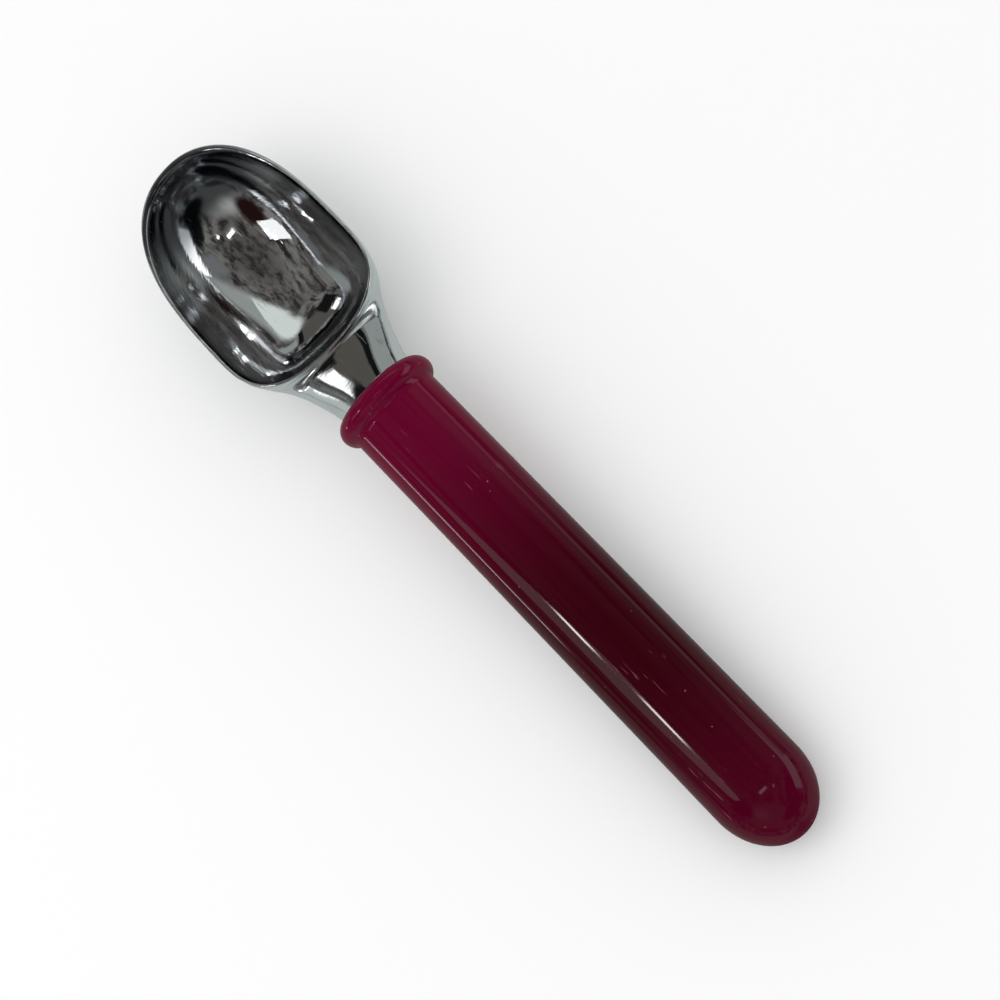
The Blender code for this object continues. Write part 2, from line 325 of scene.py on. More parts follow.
@dataclass
class Casting:
    """Bowl, neck and tang, cast in one and chrome-plated."""

    bowl: Bowl = field(default_factory=Bowl)
    bar: Bar = field(default_factory=Bar)
    flare: float = 0.0030
    sag: float = 0.0020
    neck_power: float = 2.15
    lip_back_gap: float = 0.0008
    neck_step: float = 0.0005
    neck_ramp: float = 0.85
    root_reach: float = 0.0170
    root_shrink: float = 0.35
    root_round: float = 0.0060
    fillet: float = 0.0128
    lip_fillet: float = 0.0014
    fillet_depth: float = 0.0070
    sleeve_length: float = 0.1340
    sleeve_dome: float = 0.0140
    sleeve_tip_wall: float = 0.0020
    tip_gap: float = 0.0020
    foot_cut: float = 0.00025
    faces_around: int = 192
    cavity_steps: int = 56
    lip_steps: int = 12
    swing_steps: int = 96
    neck_steps: int = 24
    tang_steps: int = 8
    dome_steps: int = 8
    coarse_probes: int = 120
    fine_probes: int = 1600

    def __post_init__(self) -> None:
        """Works out the places that follow from the sizes."""
        bowl = self.bowl
        self.hinge_reach = bowl.rear_radius + 2 * bowl.lip_radius + self.lip_back_gap
        self.hinge = bowl.centre - self.hinge_reach * bowl.forward
        self.neck_length = bowl.lip_back[0]
        self.neck_top = self.hinge[2] - self.neck_step
        self.root_end = self.neck_length + self.root_reach
        self.search_reach = 2 * (bowl.front_length + bowl.rear_length)

    def neck_section(self, x: Any) -> tuple[Any, Any, Any, Any]:
        """The neck or tang at x.

        Args:
            x: Place along the grip's axis.

        Returns:
            Half width, half thickness, height of the middle, and roundness.
        """
        at_bowl = smoothstep(x / self.neck_length)
        under_bowl = smoothstep((x - self.neck_length) / self.root_reach)
        half_width = self.bar.half_width + self.flare * at_bowl
        half_width = half_width * (1 - self.root_shrink * under_bowl)
        thick = self.bar.half_thickness
        straight = np.clip(x / self.neck_length, 0, 1)
        fall = self.neck_ramp * straight + (1 - self.neck_ramp) * at_bowl
        top = thick + (self.neck_top - thick) * fall
        bottom = -thick - self.sag * smoothstep(x / self.root_end)
        top = top - self.root_shrink * (top - bottom) * under_bowl
        power = self.bar.power + (self.neck_power - self.bar.power) * at_bowl
        return half_width, (top - bottom) / 2, (top + bottom) / 2, power

    def outside_neck(self, points: np.ndarray) -> np.ndarray:
        """Distance out of the neck's skin, which ends rounded inside the bowl's floor.

        Args:
            points: Points in the tool's frame.

        Returns:
            A distance for each point, below 0 inside.
        """
        half_width, half_thickness, middle, power = self.neck_section(points[..., 0])
        left, up = points[..., 1], points[..., 2] - middle
        share = (np.abs(left) / half_width) ** power + (np.abs(up) / half_thickness) ** power
        share = np.maximum(share ** (1 / power), TINY)
        sideways = np.hypot(left, up) * (1 - 1 / share) + self.root_round
        endways = points[..., 0] - self.root_end + self.root_round
        corner = np.hypot(np.maximum(sideways, 0), np.maximum(endways, 0))
        inner = np.minimum(np.maximum(sideways, endways), 0)
        return corner + inner - self.root_round

    def outside(self, points: np.ndarray) -> np.ndarray:
        """Distance out of bowl and neck, joined by a fillet that is small behind the lip.

        Args:
            points: Points in the tool's frame.

        Returns:
            A distance for each point, below 0 inside.
        """
        bowl, neck = self.bowl.outside(points), self.outside_neck(points)
        depth = -((points - self.bowl.centre) @ self.bowl.up) / self.fillet_depth
        fillet = self.lip_fillet + (self.fillet - self.lip_fillet) * smoothstep(depth)
        overlap = np.maximum(fillet - np.abs(bowl - neck), 0) / fillet
        return np.minimum(bowl, neck) - overlap**3 * fillet / 6

    def skin_ring(
        self, centre: np.ndarray, forward: np.ndarray, angle: np.ndarray
    ) -> np.ndarray:
        """The outer skin where a plane cuts it.

        Args:
            centre: A point inside the casting.
            forward: The direction in the plane at angle 0; the other is to the left.
            angle: Angles of the points.

        Returns:
            Points in the tool's frame.
        """
        rays = np.outer(np.cos(angle), forward) + np.outer(np.sin(angle), LEFT)
        steps = np.linspace(0, self.search_reach, self.coarse_probes)
        probes = centre + rays[:, None, :] * steps[None, :, None]
        first = np.argmax(self.outside(probes) > 0, axis=1)
        near, far = steps[np.maximum(first - 1, 0)], steps[first]
        for _ in range(BISECTIONS):
            middle = (near + far) / 2
            out = self.outside(centre + rays * middle[:, None]) > 0
            near, far = np.where(out, near, middle), np.where(out, middle, far)
        return centre + rays * ((near + far) / 2)[:, None]

    def swing_rings(self, angle: np.ndarray) -> Rings:
        """The outer skin in planes that swing about the hinge behind the lip, from the
        mouth to square across the neck.

        Args:
            angle: Angles of a ring's points.

        Returns:
            Rings of points in the tool's frame.
        """
        bowl, rings = self.bowl, []
        probes = np.linspace(0, self.search_reach, self.fine_probes)
        for number in range(self.swing_steps):
            swing = (math.pi / 2 + bowl.tilt) * number / self.swing_steps
            forward = math.cos(swing) * bowl.forward - math.sin(swing) * bowl.up
            solid = probes[self.outside(self.hinge + np.outer(probes, forward)) < 0]
            settled = smoothstep(2 * number / self.swing_steps)
            reach = self.hinge_reach + ((solid[0] + solid[-1]) / 2 - self.hinge_reach) * settled
            rings.append(self.skin_ring(self.hinge + reach * forward, forward, angle))
        return rings

    def rings(self) -> Rings:
        """The whole skin, from the cavity's deepest point over the lip to the tang's tip.

        Returns:
            Rings of points in the tool's frame.
        """
        angle = around(self.faces_around)
        down = np.array([0.0, 0.0, -1.0])
        start = self.sleeve_dome - self.sleeve_length
        length = self.sleeve_dome - self.sleeve_tip_wall - self.tip_gap
        neck = []
        for x in np.linspace(self.hinge[0], 0, self.neck_steps, endpoint=False):
            middle = np.array([x, 0.0, float(self.neck_section(x)[2])])
            neck.append(self.skin_ring(middle, down, angle))
        places = np.linspace(0, start, self.tang_steps, endpoint=False)
        tang = [self.bar.ring(x, angle, 0.0) for x in places]
        dome = self.bar.dome(start, length, angle, 0.0, self.dome_steps)
        bowl = self.bowl.cavity_rings(angle, self.cavity_steps)
        lip = self.bowl.lip_rings(angle, self.lip_steps)
        return bowl + lip + self.swing_rings(angle) + neck + tang + dome

    def build(self, place: Placement) -> bpy.types.Object:
        """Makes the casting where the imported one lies, with the flat cut under its bowl.

        Args:
            place: How the tool lies.

        Returns:
            The casting.
        """
        obj = lofted("chrome_casting", self.rings(), place)
        shape = bmesh.new()
        shape.from_mesh(obj.data)
        cut = bmesh.ops.bisect_plane(
            shape,
            geom=shape.verts[:] + shape.edges[:] + shape.faces[:],
            plane_co=Vector((0, 0, 0)),
            plane_no=Vector((0, 0, 1)),
            clear_inner=True,
        )
        rim = [item for item in cut["geom_cut"] if isinstance(item, bmesh.types.BMEdge)]
        foot = bmesh.ops.contextual_create(shape, geom=rim)["faces"]
        bmesh.ops.recalc_face_normals(shape, faces=shape.faces)
        for edge in {edge for face in foot for edge in face.edges}:
            edge.smooth = False
        shape.to_mesh(obj.data)
        shape.free()
        return obj


@dataclass
class GripSleeve:
    """The vinyl sleeve, with a rolled bead round its mouth."""

    bar: Bar = field(default_factory=Bar)
    length: float = 0.1340
    wall: float = 0.0010
    clearance: float = 0.0003
    dome: float = 0.0140
    tip_wall: float = 0.0020
    bead_radius: float = 0.0028
    bead_height: float = 0.0018
    faces_around: int = 160
    dome_steps: int = 28
    shank_steps: int = 60
    bead_steps: int = 28
    bore_steps: int = 6
    bore_dome_steps: int = 6

    def rings(self) -> Rings:
        """The whole skin, from the closed end's tip over the bead and back into the bore.

        Returns:
            Rings of points in the tool's frame.
        """
        angle = around(self.faces_around)
        start = self.dome - self.length
        outer = self.clearance + self.wall
        middle = self.bead_height - self.bead_radius
        behind = math.pi - math.asin(-middle / self.bead_radius)
        front = math.asin((-self.wall - middle) / self.bead_radius)
        bead = []
        for turn in np.linspace(behind, front, self.bead_steps):
            x = self.bead_radius * (math.cos(turn) - math.cos(front))
            growth = outer + middle + self.bead_radius * math.sin(turn)
            bead.append(self.bar.ring(x, angle, growth))
        places = np.linspace(start, bead[0][0, 0], self.shank_steps)[1:-1]
        shank = [self.bar.ring(x, angle, outer) for x in places]
        places = np.linspace(0, start, self.bore_steps)[1:-1]
        bore = [self.bar.ring(x, angle, self.clearance) for x in places]
        cap = self.bar.dome(start, self.dome, angle, outer, self.dome_steps)[::-1]
        depth = self.dome - self.tip_wall
        hollow = self.bar.dome(start, depth, angle, self.clearance, self.bore_dome_steps)
        return cap + shank + bead + bore + hollow

    def build(self, place: Placement) -> bpy.types.Object:
        """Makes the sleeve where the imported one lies."""
        return lofted("vinyl_grip", self.rings(), place)


def resting_place(casting: Casting, sleeve: GripSleeve) -> Placement:
    """Lays the tool on the flat under its bowl and on the end of its grip.

    Args:
        casting: The casting's sizes.
        sleeve: The sleeve's sizes.

    Returns:
        The pitch at which both touch the table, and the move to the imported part's place.
    """
    bowl, grip = (np.concatenate(part.rings()) for part in (casting, sleeve))

    def lowest(points: np.ndarray, pitch: float) -> float:
        """Height of the lowest point at a pitch."""
        return float((points[:, 0] * math.sin(pitch) + points[:, 2] * math.cos(pitch)).min())

    low, high = -STEEPEST_PITCH, STEEPEST_PITCH
    for _ in range(BISECTIONS):
        pitch = (low + high) / 2
        above = lowest(bowl, pitch) + casting.foot_cut > lowest(grip, pitch)
        low, high = (low, pitch) if above else (pitch, high)
    both = np.vstack([bowl, grip])
    along = both[:, 0] * math.cos(pitch) - both[:, 2] * math.sin(pitch)
    table = lowest(bowl, pitch) + casting.foot_cut
    return Placement(pitch, (-(along.min() + along.max()) / 2, -table))


@dataclass(frozen=True)
class View:
    """The photograph's view: a camera in the tool's frame and what it looks at."""

    position: Three = (-0.1589, -0.0446, 0.4040)
    target: Three = (-0.0377, -0.0028, 0.0)
    roll: float = math.radians(225.73)
    focal_share: float = 1.9401
    sensor: float = 36.0
    nearest: float = 0.01

    def build(self, place: Placement) -> bpy.types.Object:
        """Makes the scene's camera.

        Args:
            place: How the tool lies.

        Returns:
            The camera.
        """
        data = bpy.data.cameras.new("photo_view")
        data.sensor_width = self.sensor
        data.lens = self.focal_share * self.sensor
        data.clip_start = self.nearest
        back = (Vector(self.position) - Vector(self.target)).normalized()
        along = Vector((1, 0, 0))
        along = (along - along.dot(back) * back).normalized()
        across = back.cross(along)
        turn = -self.roll
        right = math.cos(turn) * along - math.sin(turn) * across
        up = math.sin(turn) * along + math.cos(turn) * across
        pose = Matrix((right, up, back)).transposed().to_4x4()
        pose.translation = Vector(self.position)
        camera = bpy.data.objects.new("photo_view", data)
        bpy.context.scene.collection.objects.link(camera)
        camera.matrix_world = place.matrix() @ pose
        bpy.context.scene.camera = camera
        return camera


class Wire:
    """An output socket that takes part in Python sums; each sum adds a Math node."""

    def __init__(self, sheet: Sheet, socket: bpy.types.NodeSocket | None) -> None:
        """Keeps the socket and the sheet that it is on."""
        self.sheet, self.socket = sheet, socket

    def __add__(self, other: Value) -> Wire:
        """self + other"""
        return self.sheet.maths("ADD", self, other)

    def __sub__(self, other: Value) -> Wire:
        """self - other"""
        return self.sheet.maths("SUBTRACT", self, other)

    def __rsub__(self, other: Value) -> Wire:
        """other - self"""
        return self.sheet.maths("SUBTRACT", other, self)

    def __mul__(self, other: Value) -> Wire:
        """self * other"""
        return self.sheet.maths("MULTIPLY", self, other)

    def __abs__(self) -> Wire:
        """abs(self)"""
        return self.sheet.maths("ABSOLUTE", self)

    __radd__, __rmul__ = __add__, __mul__


Value = Union[Wire, float, Sequence[float]]


class Sheet:
    """The node tree of one material or sky, with one way to add a node."""

    def __init__(self, name: str, sky: bool = False) -> None:
        """Starts an empty tree.

        Args:
            name: Name of the material or the sky.
            sky: Whether it is the world's.
        """
        kind = bpy.data.worlds if sky else bpy.data.materials
        self.owner = kind.new(name)
        self.owner.use_nodes = True
        self.tree = self.owner.node_tree
        self.tree.nodes.clear()
        self.end = "ShaderNodeOutputWorld" if sky else "ShaderNodeOutputMaterial"

    def add(
        self,
        kind: str,
        settings: dict[str, Any] | None = None,
        sockets: dict[str | int, Value] | None = None,
        output: str | int = 0,
    ) -> Wire:
        """Adds a node.

        Args:
            kind: The node's type.
            settings: What is set first; "stops" are a ramp's (place, colour) pairs.
            sockets: A value or a link for each input, by its name or number.
            output: Which output is wanted.

        Returns:
            That output.
        """
        node = self.tree.nodes.new(kind)
        for key, setting in (settings or {}).items():
            if key == "stops":
                ramp = node.color_ramp
                while len(ramp.elements) < len(setting):
                    ramp.elements.new(1.0)
                for element, (place, colour) in zip(ramp.elements, setting):
                    element.position, element.color = place, (*colour, 1.0)
            else:
                setattr(node, key, setting)
        for key, value in (sockets or {}).items():
            socket = node.inputs[key]
            if isinstance(value, Wire):
                self.tree.links.new(value.socket, socket)
            elif isinstance(value, (int, float)):
                socket.default_value = value
            else:
                full = len(socket.default_value) == 4 and len(value) == 3
                socket.default_value = (*value, 1.0) if full else value
        return Wire(self, node.outputs[output]) if len(node.outputs) else Wire(self, None)

    def maths(self, operation: str, *values: Value) -> Wire:
        """A Math node on one to three numbers."""
        return self.add("ShaderNodeMath", {"operation": operation}, dict(enumerate(values)))

    def step(self, value: Wire, low: float, high: float, top: float = 1.0) -> Wire:
        """0 at low, top at high and a smooth S between."""
        sockets = {"Value": value, 1: low, 2: high, 3: 0.0, 4: top}
        return self.add("ShaderNodeMapRange", {"interpolation_type": "SMOOTHSTEP"}, sockets)

    def blend(self, share: Value, first: Value, second: Value) -> Wire:
        """A colour between two others."""
        sockets = {0: share, 6: first, 7: second}
        return self.add("ShaderNodeMix", {"data_type": "RGBA"}, sockets, 2)

    def spot(self, scale: float | Sequence[float] = 1.0) -> Wire:
        """Object coordinates, drawn together.

        Args:
            scale: Blotches in a metre, for all axes or for each.

        Returns:
            The coordinates times the scale.
        """
        place = self.add("ShaderNodeTexCoord", output="Object")
        scale = (scale,) * 3 if isinstance(scale, float) else scale
        return self.add("ShaderNodeVectorMath", {"operation": "MULTIPLY"}, {0: place, 1: scale})

    def part(self, vector: Wire, axis: str) -> Wire:
        """One axis of a vector."""
        return self.add("ShaderNodeSeparateXYZ", {}, {0: vector}, axis)

    def cloud(self, vector: Wire, detail: float = 2.0, roughness: float = 0.5) -> Wire:
        """Noise of about one blotch in each unit of the vector, around 0.5."""
        sockets = {"Vector": vector, "Scale": 1.0, "Detail": detail, "Roughness": roughness}
        return self.add("ShaderNodeTexNoise", {}, sockets, "Fac")

    def patches(self, scale: float | Sequence[float], detail: float, edge: Edge) -> Wire:
        """Soft-edged patches.

        Args:
            scale: Patches in a metre, for all axes or for each.
            detail: Fineness of the noise.
            edge: Noise at which a patch begins to show, and at which it is full.

        Returns:
            1 in a patch, 0 elsewhere.
        """
        return self.step(self.cloud(self.spot(scale), detail), *edge)

    def bump(self, height: Wire, depth: float, under: Wire | None = None) -> Wire:
        """A normal from a height map.

        Args:
            height: The map, about 0 to 1.
            depth: Height of 1, in metres.
            under: A normal that this one goes on top of.

        Returns:
            The normal.
        """
        sockets = {"Strength": 1.0, "Distance": depth, "Height": height}
        if under is not None:
            sockets["Normal"] = under
        return self.add("ShaderNodeBump", {}, sockets)

    def finish(self, shader: Wire) -> bpy.types.Material | bpy.types.World:
        """Sends a shader to the surface and hands its owner over."""
        self.add(self.end, {}, {"Surface": shader})
        return self.owner


@dataclass(frozen=True)
class Chrome:
    """Bright plate over a casting that was polished by hand: slow waves, polishing lines
    that run round the bowl, smears, fine scratches from use, and painted shade that darkens the
    inside of the nose.

    Walls, lip and the nose's painted shade start and end along the V of the piece's own UV map,
    which is 0 at the bowl's deepest point and 1 at the tang's tip. The nose does along X, in
    metres.
    """

    colour: Colour = (0.775, 0.795, 0.815)
    roughness: float = 0.035
    wall_start: float = 0.10
    wall_end: float = 0.24
    lip_start: float = 0.29
    lip_end: float = 0.34
    nose_start: float = 0.088
    nose_end: float = 0.098
    nose_calm: float = 0.85
    wave_size: float = 0.007
    wave_depth: float = 0.00006
    line_length: float = 3.5
    line_count: float = 170.0
    line_depth: float = 0.000050
    line_edge: Edge = (0.52, 0.75)
    line_roughness: float = 0.03
    floor_share: float = 0.2
    smear_colour: Colour = (0.71, 0.73, 0.745)
    smear_scale: Three = (70.0, 110.0, 110.0)
    smear_edge: Edge = (0.48, 0.66)
    smear_share: float = 0.6
    smear_roughness: float = 0.07
    # Painted shade inside the nose: its dark colour, where it starts and ends along V, and the
    # roughness it adds.
    nose_painted_shade_colour: Colour = (0.20, 0.21, 0.225)
    painted_shade_start: float = 0.150
    painted_shade_end: float = 0.182
    painted_shade_roughness: float = 0.07
    scratch_sets: tuple[tuple[float, float], tuple[float, float]] = ((0.25, 0.52), (-0.5, 0.6))
    scratch_fade: float = 0.08
    scratch_scale: Three = (130.0, 2600.0, 200.0)
    scratch_edge: Edge = (0.66, 0.72)
    scratch_patch_scale: float = 220.0
    scratch_share: float = 0.4
    scratch_roughness: float = 0.2
    scratch_depth: float = 0.000003

    def round_lines(self, sheet: Sheet) -> Wire:
        """Noise drawn out into lines that run round the piece.

        Args:
            sheet: The material's nodes.

        Returns:
            The noise, around 0.5.
        """
        uv = sheet.add("ShaderNodeTexCoord", output="UV")
        turn = sheet.part(uv, "X") * (2 * math.pi)
        sockets = {
            "X": sheet.maths("COSINE", turn) * self.line_length,
            "Y": sheet.maths("SINE", turn) * self.line_length,
            "Z": sheet.part(uv, "Y") * self.line_count,
        }
        return sheet.cloud(sheet.add("ShaderNodeCombineXYZ", {}, sockets), 2.0, 0.6)

    def scratches(self, sheet: Sheet, angle: float, start: float) -> Wire:
        """Sparse hair lines across the piece.

        Args:
            sheet: The material's nodes.
            angle: Their direction from +X, in radians.
            start: Noise at which a patch of them begins; more stays clear if it is higher.

        Returns:
            1 on a scratch, 0 elsewhere.
        """
        sockets = {
            "Vector": sheet.add("ShaderNodeTexCoord", output="Object"),
            "Rotation": (0.0, 0.0, angle),
            "Scale": self.scratch_scale,
        }
        turned = sheet.add("ShaderNodeMapping", {}, sockets)
        hair = sheet.step(sheet.cloud(turned, 1.0), *self.scratch_edge)
        edge = (start, start + self.scratch_fade)
        return hair * sheet.patches(self.scratch_patch_scale, 1.0, edge)

    def material(self) -> bpy.types.Material:
        """Makes the material.

        Returns:
            The chrome, which fits the casting alone.
        """
        sheet = Sheet("polished_chrome")
        v = sheet.part(sheet.add("ShaderNodeTexCoord", output="UV"), "Y")
        inside = 1 - sheet.step(v, self.lip_start, self.lip_end)
        walls = sheet.step(v, self.wall_start, self.wall_end, 1 - self.floor_share) * inside
        walls = walls + self.floor_share
        nose = sheet.step(sheet.part(sheet.spot(), "X"), self.nose_start, self.nose_end)
        # Painted shade: darkens and roughens the inside of the nose in place of the dark reflection
        # its wall shows.
        painted_shade = sheet.step(v, self.painted_shade_start, self.painted_shade_end) * nose * inside
        calm = 1 - nose * self.nose_calm
        waves = sheet.cloud(sheet.spot(1 / self.wave_size), 1.0, 0.4)
        lines = self.round_lines(sheet)
        smears = sheet.patches(self.smear_scale, 4.0, self.smear_edge)
        one_way, other_way = (self.scratches(sheet, *each) for each in self.scratch_sets)
        marks = one_way + other_way
        rough = self.roughness + smears * self.smear_roughness
        rough = rough + sheet.step(lines, *self.line_edge) * walls * self.line_roughness
        normal = sheet.bump(waves * (1 + self.floor_share - walls) * calm, self.wave_depth)
        normal = sheet.bump(lines * walls * calm, self.line_depth, normal)
        worn = smears * self.smear_share + marks * self.scratch_share
        colour = sheet.blend(worn, self.colour, self.smear_colour)
        sockets = {
            # The nose's painted shade goes into the base colour and the roughness.
            "Base Color": sheet.blend(painted_shade, colour, self.nose_painted_shade_colour),
            "Metallic": 1.0,
            "Roughness": rough + marks * self.scratch_roughness + painted_shade * self.painted_shade_roughness,
            "Normal": sheet.bump(marks, self.scratch_depth, normal),
        }
        return sheet.finish(sheet.add("ShaderNodeBsdfPrincipled", {}, sockets))


@dataclass(frozen=True)
class Vinyl:
    """Glossy dip-moulded vinyl: deep burgundy, uneven as it set, with specks and scuffs, and with
    painted shade that makes it darkest in the middle of the grip and lighter towards the bead and
    the closed end.

    The painted light and shade change between places along X, in metres.
    """

    colour: Colour = (0.126, 0.0009, 0.0225)
    # The deep colour is both the vinyl's darker random tone and the painted shade in the grip's
    # middle.
    deep_tone_and_shade_colour: Colour = (0.024, 0.0003, 0.0022)
    # Painted light along the grip: lighter towards the bead, and lighter towards the closed end.
    painted_light_bead_start: float = -0.045
    painted_light_bead_end: float = 0.022
    painted_light_bead_share: float = 0.8
    painted_light_tip_start: float = -0.062
    painted_light_tip_end: float = -0.112
    painted_light_tip_share: float = 0.36
    tone_scale: Three = (22.0, 90.0, 90.0)
    tone_share: float = 0.2
    tone_roughness: float = 0.1
    roughness: float = 0.24
    under_gloss: float = 0.0
    coat: float = 0.5
    coat_roughness: float = 0.045
    swell_size: float = 0.030
    swell_depth: float = 0.00030
    pit_scale: float = 1100.0
    pit_depth: float = 0.000004
    mark_colour: Colour = (0.45, 0.20, 0.27)
    mark_dulling: float = 0.5
    speck_scale: float = 420.0
    speck_edge: Edge = (0.05, 0.11)
    speck_patch_scale: float = 160.0
    speck_patch_edge: Edge = (0.56, 0.66)
    speck_share: float = 0.4
    scuff_scale: Three = (160.0, 1500.0, 400.0)
    scuff_edge: Edge = (0.68, 0.74)
    scuff_patch_scale: float = 90.0
    scuff_patch_edge: Edge = (0.58, 0.66)
    scuff_share: float = 0.2
    scuff_roughness: float = 0.2

    def material(self) -> bpy.types.Material:
        """Makes the material.

        Returns:
            The vinyl, which fits the sleeve alone.
        """
        sheet = Sheet("burgundy_vinyl")
        tone = sheet.cloud(sheet.spot(self.tone_scale), 4.0, 0.6)
        along = sheet.part(sheet.spot(), "X")
        # Painted light and shade along X: lighter near the bead and near the closed end, darkest
        # between; only the noise tone is the vinyl's own.
        near = sheet.step(along, self.painted_light_bead_start, self.painted_light_bead_end, self.painted_light_bead_share)
        far = self.painted_light_tip_share - sheet.step(along, self.painted_light_tip_end, self.painted_light_tip_start, self.painted_light_tip_share)
        painted_light_and_tone = near + far + tone * self.tone_share
        cells = {"Vector": sheet.spot(self.speck_scale), "Scale": 1.0}
        specks = sheet.add("ShaderNodeTexVoronoi", {}, cells, "Distance")
        specks = 1 - sheet.step(specks, *self.speck_edge)
        specks = specks * sheet.patches(self.speck_patch_scale, 2.0, self.speck_patch_edge)
        scuffs = sheet.patches(self.scuff_scale, 1.0, self.scuff_edge)
        scuffs = scuffs * sheet.patches(self.scuff_patch_scale, 1.0, self.scuff_patch_edge)
        swell = sheet.cloud(sheet.spot(1 / self.swell_size), 1.0)
        pits = sheet.cloud(sheet.spot(self.pit_scale), 2.0)
        # Random tone plus painted light and shade mix the deep colour with the lighter one.
        colour = sheet.blend(painted_light_and_tone, self.deep_tone_and_shade_colour, self.colour)
        marks = specks * self.speck_share + scuffs * self.scuff_share
        rough = self.roughness + tone * self.tone_roughness + scuffs * self.scuff_roughness
        sockets = {
            "Base Color": sheet.blend(marks, colour, self.mark_colour),
            "Roughness": rough,
            "Specular IOR Level": self.under_gloss,
            "Coat Weight": self.coat - (specks + scuffs) * self.mark_dulling,
            "Coat Roughness": self.coat_roughness,
            "Normal": sheet.bump(pits, self.pit_depth, sheet.bump(swell, self.swell_depth)),
        }
        return sheet.finish(sheet.add("ShaderNodeBsdfPrincipled", {}, sockets))


class Outline(Enum):
    """The outline of a studio card."""

    SQUARE = "square"
    OVAL = "oval"


@dataclass(frozen=True)
class Card:
    """A card or soft box round the scoop, which only the gloss of its surfaces shows.

    Angles are in degrees, seen from the scoop: azimuth from +X towards +Y, and polar down
    from straight above.
    """

    name: str
    azimuth: float
    polar: float
    half_width: float
    half_height: float
    colour: Colour
    roll: float = 0.0
    soft: float = 0.3
    outline: Outline = Outline.SQUARE

    def material(self) -> bpy.types.Material:
        """Makes the material.

        Returns:
            A glow of one colour that fades out towards the card's edges.
        """
        sheet = Sheet(self.name)
        uv = sheet.add("ShaderNodeTexCoord", output="UV")
        across, up = (abs(sheet.part(uv, axis) * 2.0 - 1.0) for axis in ("X", "Y"))
        if self.outline is Outline.OVAL:
            edge = sheet.maths("SQRT", across * across + up * up)
            cover = 1 - sheet.step(edge, 1 - self.soft, 1.0)
        else:
            wide = self.soft * min(1.0, self.half_height / self.half_width)
            high = self.soft * min(1.0, self.half_width / self.half_height)
            cover = (1 - sheet.step(across, 1 - wide, 1.0)) * (1 - sheet.step(up, 1 - high, 1.0))
        glow = sheet.add("ShaderNodeEmission", {}, {"Color": self.colour, "Strength": 1.0})
        clear = sheet.add("ShaderNodeBsdfTransparent")
        return sheet.finish(sheet.add("ShaderNodeMixShader", {}, {0: cover, 1: clear, 2: glow}))

    def build(self, distance: float) -> bpy.types.Object:
        """Makes the card.

        Args:
            distance: How far it stands from the scoop, in metres.

        Returns:
            The card.
        """
        azimuth, polar = math.radians(self.azimuth), math.radians(self.polar)
        level = math.sin(polar)
        out = Vector((level * math.cos(azimuth), level * math.sin(azimuth), math.cos(polar)))
        side = Vector((-math.sin(azimuth), math.cos(azimuth), 0.0))
        turn = Matrix((side, out.cross(side), out)).transposed().to_4x4()
        width, height = (
            math.tan(math.radians(half)) * distance for half in (self.half_width, self.half_height)
        )
        shape = bmesh.new()
        shape.loops.layers.uv.new("UVMap")
        bmesh.ops.create_grid(shape, x_segments=1, y_segments=1, size=1.0, calc_uvs=True)
        place = Matrix.Translation(out * distance) @ turn
        place = place @ Matrix.Rotation(math.radians(self.roll), 4, "Z")
        place = place @ Matrix.Diagonal((width, height, 1.0, 1.0))
        bmesh.ops.transform(shape, matrix=place, verts=shape.verts)
        return staged(self.name, shape, self.material(), hidden=True)


def staged(
    name: str, shape: bmesh.types.BMesh, material: bpy.types.Material, hidden: bool
) -> bpy.types.Object:
    """Makes a piece of the studio.

    Args:
        name: Name of the piece.
        shape: Its shape, which is used up.
        material: Its material.
        hidden: Whether only gloss shows it, so that it neither lights nor shades.

    Returns:
        The piece.
    """
    mesh = bpy.data.meshes.new(name)
    shape.to_mesh(mesh)
    shape.free()
    mesh.materials.append(material)
    obj = bpy.data.objects.new(name, mesh)
    bpy.context.scene.collection.objects.link(obj)
    if hidden:
        material.cycles.emission_sampling = "NONE"
        obj.visible_camera = obj.visible_diffuse = obj.visible_shadow = False
        obj.visible_transmission = obj.visible_volume_scatter = False
    return obj


